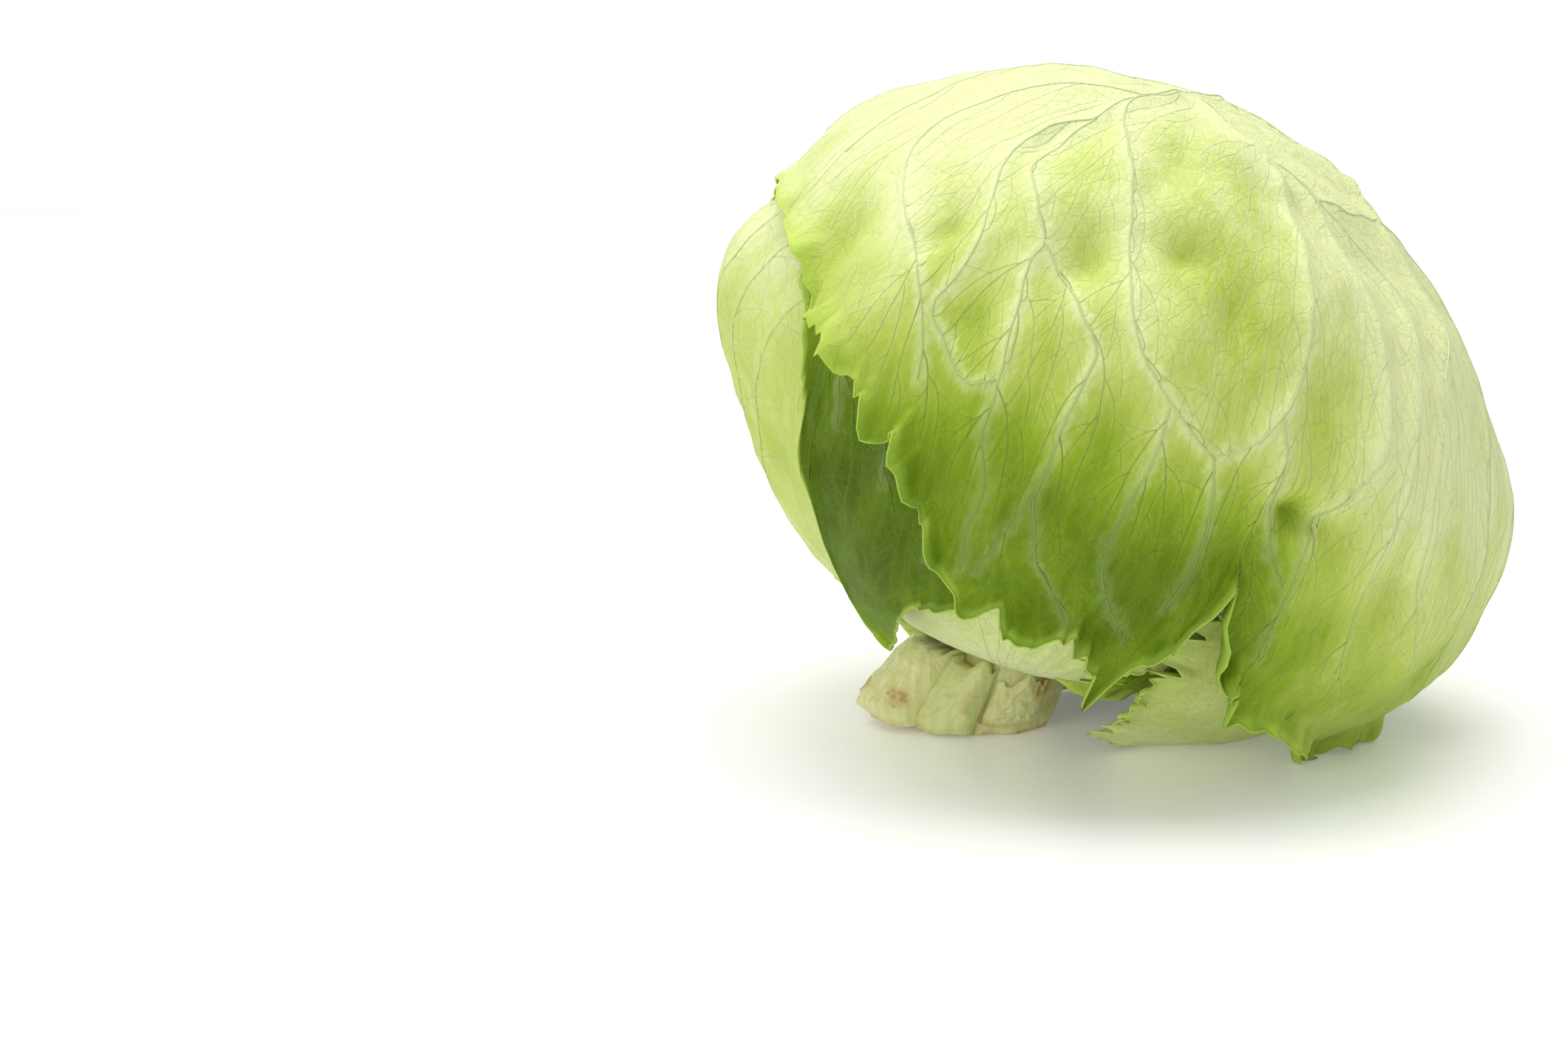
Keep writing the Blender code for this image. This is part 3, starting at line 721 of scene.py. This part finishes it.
def tube(line, radii, sides):
    """Points and faces of a closed round tube along a line that lies on the skin."""
    ahead = unit(np.gradient(line, axis=0))
    out = unit(line)
    side = unit(np.cross(ahead, out))
    turn = np.arange(sides) * (2 * math.pi / sides)
    ring = np.cos(turn)[None, :, None] * side[:, None, :] + np.sin(turn)[None, :, None] * out[:, None, :]
    points = (line[:, None, :] + ring * radii[:, None, None]).reshape(-1, 3)
    faces = []
    for step in range(len(line) - 1):
        for corner in range(sides):
            after = (corner + 1) % sides
            here, there = step * sides, (step + 1) * sides
            faces.append((here + corner, here + after, there + after, there + corner))
    faces.append(tuple(reversed(range(sides))))
    faces.append(tuple(range(len(points) - sides, len(points))))
    return points, faces


def build_veins(leaf, name, veins, to_main_vein, material):
    """Raised veins on a leaf: the main ones, and the side ones that grew out from them."""
    rim = Rim(leaf)
    points, faces, tones, mains, count = [], [], [], [], 0
    for line, radii in veins:
        line, radii = (line[::2], radii[::2]) if radii[0] > MAIN_GIRTH else (line, radii)
        sides = 5 if radii[0] > MAIN_GIRTH else 4 if radii[0] > HAIR_GIRTH else 3
        radii = radii * leaf.girth
        inside = rim.holds(line, 0.9)
        line, radii = line[inside], radii[inside]
        if len(line) < 4:
            continue
        grounded = smooth((-line[:, 2] - 0.55) / 0.2)
        reach = layer_reach(leaf, line) + relief(line, to_main_vein(line)) * (1 - 0.8 * grounded)
        floor_gap = 0.05 if leaf.on_floor else FLOOR_GAP + 0.25 * leaf.step
        reach = np.minimum(reach, (HEART_HEIGHT - floor_gap) / np.maximum(-line[:, 2], 1e-9)) - 0.2 * radii
        some, around = tube(line * reach[:, None], radii, sides)
        some[:, 2] = np.maximum(some[:, 2], -HEART_HEIGHT)
        points.append(some)
        faces.extend(tuple(count + corner for corner in face) for face in around)
        tones.append(np.repeat(tone_of(leaf, line), sides))
        fade = 1 - 0.85 * smooth((polar(line)[0] - 74) / 26)
        mains.append(np.repeat(fade * (radii[0] > MAIN_GIRTH * leaf.girth), sides))
        count += len(some)
    attributes = {"tone": np.concatenate(tones), "main": np.concatenate(mains)}
    piece = add_piece(name, np.vstack(points), faces, material, attributes)


# ---- Materials ------------------------------------------------------------------------------------------

def srgb(red, green, blue):
    """A display colour, 0 to 255 each, as the linear colour that shaders take."""
    parts = [value / 255 for value in (red, green, blue)]
    return (*[p / 12.92 if p <= 0.04045 else ((p + 0.055) / 1.055) ** 2.4 for p in parts], 1)


class Graph:
    """A material's nodes. Each method adds one node and returns its output."""

    def __init__(self, name):
        self.material = bpy.data.materials.new(name)
        self.material.use_nodes = True
        self.tree = self.material.node_tree
        self.shader = self.tree.nodes["Principled BSDF"]

    def put(self, socket, value):
        if isinstance(value, bpy.types.NodeSocket):
            self.tree.links.new(value, socket)
        else:
            socket.default_value = value

    def add(self, kind, inputs=None, output=0, **settings):
        node = self.tree.nodes.new(kind)
        for key, value in settings.items():
            setattr(node, key, value)
        for key, value in (inputs or {}).items():
            self.put(node.inputs[key], value)
        return node.outputs[output]

    def attribute(self, name, output="Fac"):
        return self.add("ShaderNodeAttribute", output=output, attribute_name=name)

    def math(self, operation, first, second=0.0, third=0.0):
        return self.add("ShaderNodeMath", {0: first, 1: second, 2: third}, operation=operation)

    def ramp(self, value, start, end, low=0.0, high=1.0):
        """`value` eased from low at start to high at end."""
        inputs = {"Value": value, "From Min": start, "From Max": end, "To Min": low, "To Max": high}
        return self.add("ShaderNodeMapRange", inputs, interpolation_type="SMOOTHSTEP")

    def mix(self, share, first, second):
        node = self.tree.nodes.new("ShaderNodeMix")
        node.data_type = "RGBA"
        self.put(node.inputs[0], share)
        self.put(node.inputs[6], first)
        self.put(node.inputs[7], second)
        return node.outputs[2]

    def noise(self, place, scale, detail=2.0):
        return self.add("ShaderNodeTexNoise", {"Vector": place, "Scale": scale, "Detail": detail})

    def colours(self, value, stops):
        node = self.tree.nodes.new("ShaderNodeValToRGB")
        self.put(node.inputs[0], value)
        elements = node.color_ramp.elements
        while len(elements) < len(stops):
            elements.new(0.5)
        for element, (position, colour) in zip(elements, stops):
            element.position = position
            element.color = colour
        return node.outputs[0]

    def bump(self, height, strength, distance):
        return self.add("ShaderNodeBump", {"Height": height, "Strength": strength, "Distance": distance})

    def object_place(self):
        return self.add("ShaderNodeTexCoord", output="Object")

    def finish(self, **inputs):
        for key, value in inputs.items():
            self.put(self.shader.inputs[key.replace("_", " ")], value)
        return self.material


BLADE_GLOSS = 0.48
BLADE_COLOURS = [
    (0.0, srgb(66, 90, 0)),
    (0.2, srgb(96, 124, 8)),
    (0.42, srgb(141, 169, 40)),
    (0.62, srgb(180, 198, 88)),
    (0.82, srgb(208, 220, 134)),
    (1.0, srgb(226, 234, 172)),
]


def blade_material():
    """A leaf's blade: pale along its veins, greener between, with a fine net of small veins."""
    graph = Graph("lettuce_green_blade")
    flow_place = graph.attribute("flow", "Vector")
    place = graph.object_place()
    to_main = graph.attribute("to_main")
    to_side = graph.attribute("to_side")
    edge = graph.attribute("edge")
    jag = graph.math("SUBTRACT", graph.noise(flow_place, 0.7, 3.0), 0.5)
    cloud = graph.math("SUBTRACT", graph.noise(flow_place, 0.12, 4.0), 0.5)
    tone = graph.math("MULTIPLY_ADD", cloud, 0.3, graph.attribute("tone"))
    halo = graph.ramp(graph.math("MULTIPLY_ADD", jag, 4.5, to_main), 0.3, 2.6, 1.0, 0.0)
    halo = graph.math("MULTIPLY", halo, graph.attribute("halo"))
    glow = graph.attribute("glow")
    side_halo = graph.ramp(graph.math("MULTIPLY_ADD", jag, 1.2, to_side), 0.1, 1.3, 1.0, 0.0)
    tone = graph.math("MULTIPLY_ADD", glow, 0.17, tone)
    tone = graph.math("MULTIPLY_ADD", side_halo, 0.06, tone)
    warp = graph.add("ShaderNodeTexNoise", {"Vector": flow_place, "Scale": 0.3, "Detail": 2.0}, "Color")
    shifted = graph.add(
        "ShaderNodeVectorMath", {0: warp, 1: (3.0, 3.0, 3.0), 2: flow_place}, operation="MULTIPLY_ADD"
    )
    net = graph.add(
        "ShaderNodeTexVoronoi", {"Vector": shifted, "Scale": 0.22}, "Distance", feature="DISTANCE_TO_EDGE"
    )
    fine_net = graph.add(
        "ShaderNodeTexVoronoi", {"Vector": shifted, "Scale": 0.62}, "Distance", feature="DISTANCE_TO_EDGE"
    )
    net_line = graph.ramp(net, 0.0, 0.055, 1.0, 0.0)
    fine_line = graph.ramp(fine_net, 0.0, 0.09, 1.0, 0.0)
    colour = graph.colours(tone, BLADE_COLOURS)
    colour = graph.mix(graph.math("MULTIPLY", halo, 0.55), colour, srgb(226, 236, 184))
    colour = graph.mix(graph.math("MULTIPLY", net_line, 0.10), colour, srgb(122, 156, 50))
    colour = graph.mix(graph.math("MULTIPLY", fine_line, 0.05), colour, srgb(120, 156, 56))
    rim = graph.ramp(edge, 0.0, 2.8, 1.0, 0.0)
    colour = graph.mix(graph.math("MULTIPLY", rim, 0.55), colour, srgb(190, 216, 96))
    speckle = graph.ramp(graph.noise(place, 2200.0, 2.0), 0.35, 0.65)
    colour = graph.mix(graph.math("MULTIPLY", speckle, 0.05), colour, srgb(196, 214, 96))
    grain = graph.math("MULTIPLY", graph.noise(place, 900.0, 3.0), 0.12)
    height = graph.math("MULTIPLY_ADD", fine_line, 0.10, grain)
    height = graph.math("MULTIPLY_ADD", net_line, 0.16, height)
    pillow = graph.math("MULTIPLY", graph.ramp(net, 0.0, 0.6), 0.5)
    height = graph.math("ADD", height, pillow)
    roughness = graph.math("MULTIPLY_ADD", graph.noise(place, 260.0, 3.0), 0.22, BLADE_GLOSS - 0.11)
    return graph.finish(
        Base_Color=colour,
        Roughness=roughness,
        Normal=graph.bump(height, 0.6, 0.0008),
        Subsurface_Weight=0.22,
        Subsurface_Radius=(0.5, 1.0, 0.2),
        Subsurface_Scale=0.0014,
        Specular_IOR_Level=0.08,
    )


def vein_material():
    """Raised veins, grey-green and a little darker than the pale blade beside them."""
    graph = Graph("lettuce_veins")
    tone = graph.attribute("tone")
    main = graph.attribute("main")
    colour = graph.colours(
        tone,
        [
            (0.0, srgb(74, 102, 20)),
            (0.3, srgb(110, 140, 40)),
            (0.55, srgb(166, 190, 92)),
            (0.75, srgb(202, 218, 140)),
            (1.0, srgb(226, 235, 184)),
        ],
    )
    place = graph.object_place()
    patch = graph.ramp(graph.noise(place, 300.0, 2.0), 0.3, 0.7)
    colour = graph.mix(graph.math("MULTIPLY", patch, 0.12), colour, srgb(150, 176, 96))
    colour = graph.mix(graph.math("MULTIPLY", main, 0.6), colour, srgb(196, 214, 148))
    grain = graph.noise(place, 1500.0, 2.0)
    return graph.finish(
        Base_Color=colour,
        Roughness=0.42,
        Normal=graph.bump(grain, 0.2, 0.0003),
        Subsurface_Weight=0.2,
        Subsurface_Radius=(0.6, 1.0, 0.3),
        Subsurface_Scale=0.0015,
    )


def inner_material(name, pale, green):
    """The closed head's leaves: pale and watery, with soft ribs and blotches."""
    graph = Graph(name)
    place = graph.object_place()
    cloud = graph.ramp(graph.noise(place, 38.0, 4.0), 0.3, 0.7)
    ribs = graph.add(
        "ShaderNodeTexVoronoi", {"Vector": place, "Scale": 110.0}, "Distance", feature="DISTANCE_TO_EDGE"
    )
    line = graph.ramp(ribs, 0.0, 0.09, 1.0, 0.0)
    colour = graph.mix(cloud, pale, green)
    colour = graph.mix(graph.math("MULTIPLY", line, 0.35), colour, srgb(236, 240, 208))
    height = graph.math("MULTIPLY_ADD", line, 0.5, graph.noise(place, 500.0, 3.0))
    return graph.finish(
        Base_Color=colour,
        Roughness=0.4,
        Normal=graph.bump(height, 0.5, 0.0006),
        Subsurface_Weight=0.25,
        Subsurface_Radius=(0.8, 1.0, 0.4),
        Subsurface_Scale=0.003,
    )


def stem_material():
    """Cut stem and stumps: cream flesh that has dried brown in blotches and along its edges."""
    graph = Graph("lettuce_stem")
    place = graph.object_place()
    browning = graph.attribute("brown")
    blotch = graph.noise(place, 150.0, 5.0)
    fine = graph.noise(place, 900.0, 3.0)
    brown = graph.ramp(graph.math("ADD", blotch, graph.math("MULTIPLY", browning, 0.34)), 0.56, 0.86)
    streaks = graph.add("ShaderNodeMapping", {"Vector": place, "Scale": (1.0, 1.0, 0.22)})
    fibre = graph.noise(streaks, 700.0, 3.0)
    green = graph.attribute("green")
    colour = graph.mix(graph.ramp(fibre, 0.3, 0.7), srgb(230, 227, 172), srgb(212, 212, 140))
    colour = graph.mix(graph.math("MULTIPLY", green, 0.7), colour, srgb(204, 218, 142))
    colour = graph.mix(graph.math("MULTIPLY", brown, 0.75), colour, srgb(202, 172, 102))
    deep = graph.ramp(graph.math("ADD", fine, graph.math("MULTIPLY", brown, 0.4)), 0.78, 0.95)
    colour = graph.mix(graph.math("MULTIPLY", deep, 0.4), colour, srgb(146, 110, 58))
    height = graph.math("MULTIPLY_ADD", fibre, 0.6, fine)
    return graph.finish(
        Base_Color=colour,
        Roughness=graph.ramp(brown, 0.0, 1.0, 0.42, 0.68),
        Normal=graph.bump(height, 0.5, 0.0006),
        Subsurface_Weight=0.2,
        Subsurface_Radius=(1.0, 0.8, 0.5),
        Subsurface_Scale=0.003,
    )


# ---- Stem -----------------------------------------------------------------------------------------------

STEM_BUMPS = 0.8


def build_stem(material):
    """The cut stem in the room of its CAD solid, with soft edges, dents and dried patches."""
    name = "cut_stem"
    mesh = bpy.data.meshes.new(name)
    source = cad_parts["core_stem"].data
    shape = bmesh.new()
    shape.from_mesh(source)
    bmesh.ops.remove_doubles(shape, verts=shape.verts, dist=1e-6)
    shape.to_mesh(mesh)
    shape.free()
    piece = bpy.data.objects.new(name, mesh)
    bpy.context.scene.collection.objects.link(piece)
    remesh = piece.modifiers.new("Even mesh", "REMESH")
    remesh.mode = "VOXEL"
    remesh.voxel_size = 0.55 * MM
    soften = piece.modifiers.new("Soft edges", "SMOOTH")
    soften.iterations = 4
    evaluated = piece.evaluated_get(bpy.context.evaluated_depsgraph_get())
    shaped = bpy.data.meshes.new_from_object(evaluated)
    piece.modifiers.clear()
    piece.data = shaped
    shaped.name = name
    count = len(shaped.vertices)
    points = np.empty(count * 3, np.float32)
    shaped.vertices.foreach_get("co", points)
    points = points.reshape(-1, 3).astype(float) / MM
    normals = np.empty(count * 3, np.float32)
    shaped.vertices.foreach_get("normal", normals)
    normals = normals.reshape(-1, 3)
    lumps = 0.55 * noise(points, 7, 71) + 0.35 * noise(points, 3, 72) + 0.12 * noise(points, 1.3, 73)
    rise = STEM_BUMPS * lumps
    points = points + normals * rise[:, None]
    points[:, 2] = np.maximum(points[:, 2], 0.0)
    shaped.vertices.foreach_set("co", (points * MM).astype(np.float32).ravel())
    shaped.update()
    shaped.materials.clear()
    shaped.materials.append(material)
    brown = smooth((2.6 - points[:, 2]) / 2.6) * 0.8 + 0.35 * smooth(noise(points, 6, 75) * 2)
    for label, values in {"brown": brown, "green": np.zeros(count)}.items():
        layer = shaped.attributes.new(label, "FLOAT", "POINT")
        layer.data.foreach_set("value", values.astype(np.float32))
    shaped.shade_smooth()
    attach(piece, "root")
    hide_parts("core_stem")


def underside(x):
    """Height of the leaves' flat underside over the surface, at a distance from the heart towards +X."""
    lean = math.radians(BASE_LEAN)
    return HEART_HEIGHT - (BASE_DROP + x * math.sin(lean)) / math.cos(lean)


@dataclass
class Stump:
    """What is left of a trimmed leaf: a fleshy plate against the stem's foot."""

    name: str
    node: str
    azimuth: float
    half_angle: float
    thickness: float
    foot: float
    above: float
    green: float
    seed: int


STUMPS = [
    Stump("left_stump", "trimmed_base_left", -92, 42, 13.0, 1.2, 3.4, 0.1, 81),
    Stump("front_stump", "trimmed_base_front", -38, 26, 5.4, 0.6, 2.6, 0.75, 83),
    Stump("right_stump", "trimmed_base_right", 14, 24, 2.2, 2.6, 0.8, 0.2, 85),
]


def build_stump(stump, material):
    """A plate whose outer face is faceted by the knife and torn along its top."""
    across, rise = np.meshgrid(np.linspace(-1, 1, 57), np.linspace(0, 1, 33))
    lean = math.tan(math.radians(STEM_LEAN))
    middle_radius = STEM_RADIUS + stump.thickness / 2
    middle = -HEART_HEIGHT * lean + middle_radius * math.sin(math.radians(stump.azimuth))
    top = underside(middle) + stump.above
    side = across * stump.half_angle
    arc = np.stack([side * 0.3, rise * (top - stump.foot), 0 * side], axis=-1)
    around = arc * [1, 0, 1]
    ragged = 0.12 * noise(around, 3.4, stump.seed) + 0.07 * noise(around, 1.1, stump.seed + 6)
    ragged = ragged - 0.16 * across**2
    plump = (1 - np.abs(across) ** 3.2) ** 0.55 * (1 - 0.42 * rise**2.2) * (0.72 + 0.28 * smooth(rise * 5))
    facets = noise(arc, 5.5, stump.seed + 1) - 0.8 * np.abs(noise(arc, 3.2, stump.seed + 2))
    swell = 0.13 * stump.thickness * facets + 0.3 * noise(arc, 1.3, stump.seed + 3)
    sheets = []
    for radius in (STEM_RADIUS + stump.thickness * plump + swell * plump, STEM_RADIUS - 1.5 + 0 * plump):
        angle = np.radians(stump.azimuth + side)
        height = stump.foot + (top - stump.foot) * rise * (1 + ragged)
        height = height + 0.5 * (1 - rise) * np.abs(noise(arc, 4.0, stump.seed + 4))
        east = (height - HEART_HEIGHT) * lean + radius * np.sin(angle) / math.cos(math.radians(STEM_LEAN))
        sheets.append(np.stack([east, -radius * np.cos(angle), height - HEART_HEIGHT], axis=-1))
    rows, columns = across.shape
    count = rows * columns
    faces = []
    for row in range(rows - 1):
        for column in range(columns - 1):
            quad = [row * columns + column, row * columns + column + 1]
            quad += [(row + 1) * columns + column + 1, (row + 1) * columns + column]
            faces.append(tuple(quad))
            faces.append(tuple(count + corner for corner in reversed(quad)))
    border = [*range(columns), *range(2 * columns - 1, count, columns)]
    border += [*range(count - 2, count - columns - 1, -1), *range(count - 2 * columns, 0, -columns)]
    for here, there in zip(border, border[1:] + border[:1]):
        faces.append((there, here, count + here, count + there))
    points = np.vstack([sheet.reshape(-1, 3) for sheet in sheets])
    points[:, 2] = np.maximum(points[:, 2], 0.2 - HEART_HEIGHT)
    low = 1 - smooth((points[:, 2] + HEART_HEIGHT - stump.foot) / 3)
    brown = 0.35 * low + 0.55 * smooth(noise(points, 6, stump.seed + 5) * 2.2)
    attributes = {"brown": brown, "green": np.full(len(points), stump.green)}
    piece = add_piece(stump.name, points, faces, material, attributes)
    turned = bmesh.new()
    turned.from_mesh(piece.data)
    bmesh.ops.recalc_face_normals(turned, faces=turned.faces)
    turned.to_mesh(piece.data)
    turned.free()
    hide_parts(stump.node)


# ---- Stage ----------------------------------------------------------------------------------------------

LENS_MM = 85.0
VIEW_TILT = 12.0
CAMERA_AWAY = 752.4
CAMERA_LEFT = 66.0
CAMERA_DOWN = 19.8
FILL_STRENGTH = 0.5
FLOOR_SIDE_M = 1.7
FLOOR_GLOW = 0.14


def build_camera():
    tilt = math.radians(VIEW_TILT)
    ahead = Vector((0, math.cos(tilt), -math.sin(tilt)))
    up = Vector((0, math.sin(tilt), math.cos(tilt)))
    data = bpy.data.cameras.new("camera")
    data.lens = LENS_MM
    data.sensor_width = 36.0
    camera = bpy.data.objects.new("camera", data)
    place = Vector(HEART) - CAMERA_AWAY * ahead - CAMERA_LEFT * Vector((1, 0, 0)) - CAMERA_DOWN * up
    camera.location = place * MM
    camera.rotation_euler = (math.radians(90 - VIEW_TILT), 0, 0)
    bpy.context.scene.collection.objects.link(camera)
    bpy.context.scene.camera = camera


def add_light(name, place, size, power):
    data = bpy.data.lights.new(name, "AREA")
    data.shape = "DISK"
    data.size = size
    data.energy = power
    light = bpy.data.objects.new(name, data)
    light.location = place
    aim = Vector(HEART) * MM - Vector(place)
    light.rotation_euler = aim.to_track_quat("-Z", "Y").to_euler()
    bpy.context.scene.collection.objects.link(light)


def build_stage():
    graph = Graph("pale_floor")
    place = graph.object_place()
    wear = graph.ramp(graph.noise(place, 3.0, 3.0), 0.3, 0.7)
    colour = graph.mix(graph.math("MULTIPLY", wear, 0.3), (0.95, 0.95, 0.95, 1), (0.935, 0.94, 0.945, 1))
    graph.finish(Base_Color=colour, Roughness=0.32, Emission_Color=(1, 1, 1, 1), Emission_Strength=FLOOR_GLOW)
    bpy.ops.mesh.primitive_plane_add(size=FLOOR_SIDE_M)
    floor = bpy.context.active_object
    floor.name = "floor"
    floor.data.materials.append(graph.material)
    world = bpy.data.worlds.new("studio")
    world.use_nodes = True
    tree = world.node_tree
    seen = tree.nodes.new("ShaderNodeLightPath").outputs["Is Camera Ray"]
    strength = tree.nodes.new("ShaderNodeMapRange")
    strength.inputs["To Min"].default_value = FILL_STRENGTH
    strength.inputs["To Max"].default_value = 1.0
    tree.links.new(seen, strength.inputs["Value"])
    tree.links.new(strength.outputs[0], tree.nodes["Background"].inputs["Strength"])
    tree.nodes["Background"].inputs["Color"].default_value = (1, 1, 1, 1)
    bpy.context.scene.world = world
    bpy.context.scene.view_settings.view_transform = "Standard"
    add_light("softbox_top", (0.05, 0.25, 1.45), 1.3, 16.8)
    add_light("softbox_key", (-0.5, 0.1, 0.9), 0.4, 1.8)
    add_light("softbox_front", (-0.9, -1.3, 0.6), 0.6, 5.5)


def main():
    blade, vein = blade_material(), vein_material()
    for leaf in LEAVES:
        name = leaf.node.replace("_leaf", "")
        main_lines = [smooth_line(direction(*np.array(line, float).T), MAIN_STEP) for line in VEINS]
        if leaf is not CROWN_LEAF:
            main_lines = fan(leaf)
        veins = grow_veins(leaf, main_lines, SIDE_VEINS[:leaf.vein_kinds])
        to_main = Nearest(main_lines)
        side_lines = [line for line, _ in veins[len(main_lines):]]
        build_leaf(leaf, name + "_blade", to_main, Nearest(side_lines), blade)
        build_veins(leaf, name + "_veins", veins, to_main, vein)
    flesh = stem_material()
    build_stem(flesh)
    for stump in STUMPS:
        build_stump(stump, flesh)
    inner = inner_material("lettuce_inner", srgb(226, 234, 176), srgb(206, 222, 136))
    heart = inner_material("lettuce_heart", srgb(238, 232, 164), srgb(226, 222, 124))
    for name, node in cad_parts.items():
        if name.startswith("head_leaf"):
            node.data.materials[0] = inner
        elif name.startswith("heart"):
            node.data.materials[0] = heart
    build_stage()
    build_camera()


main()
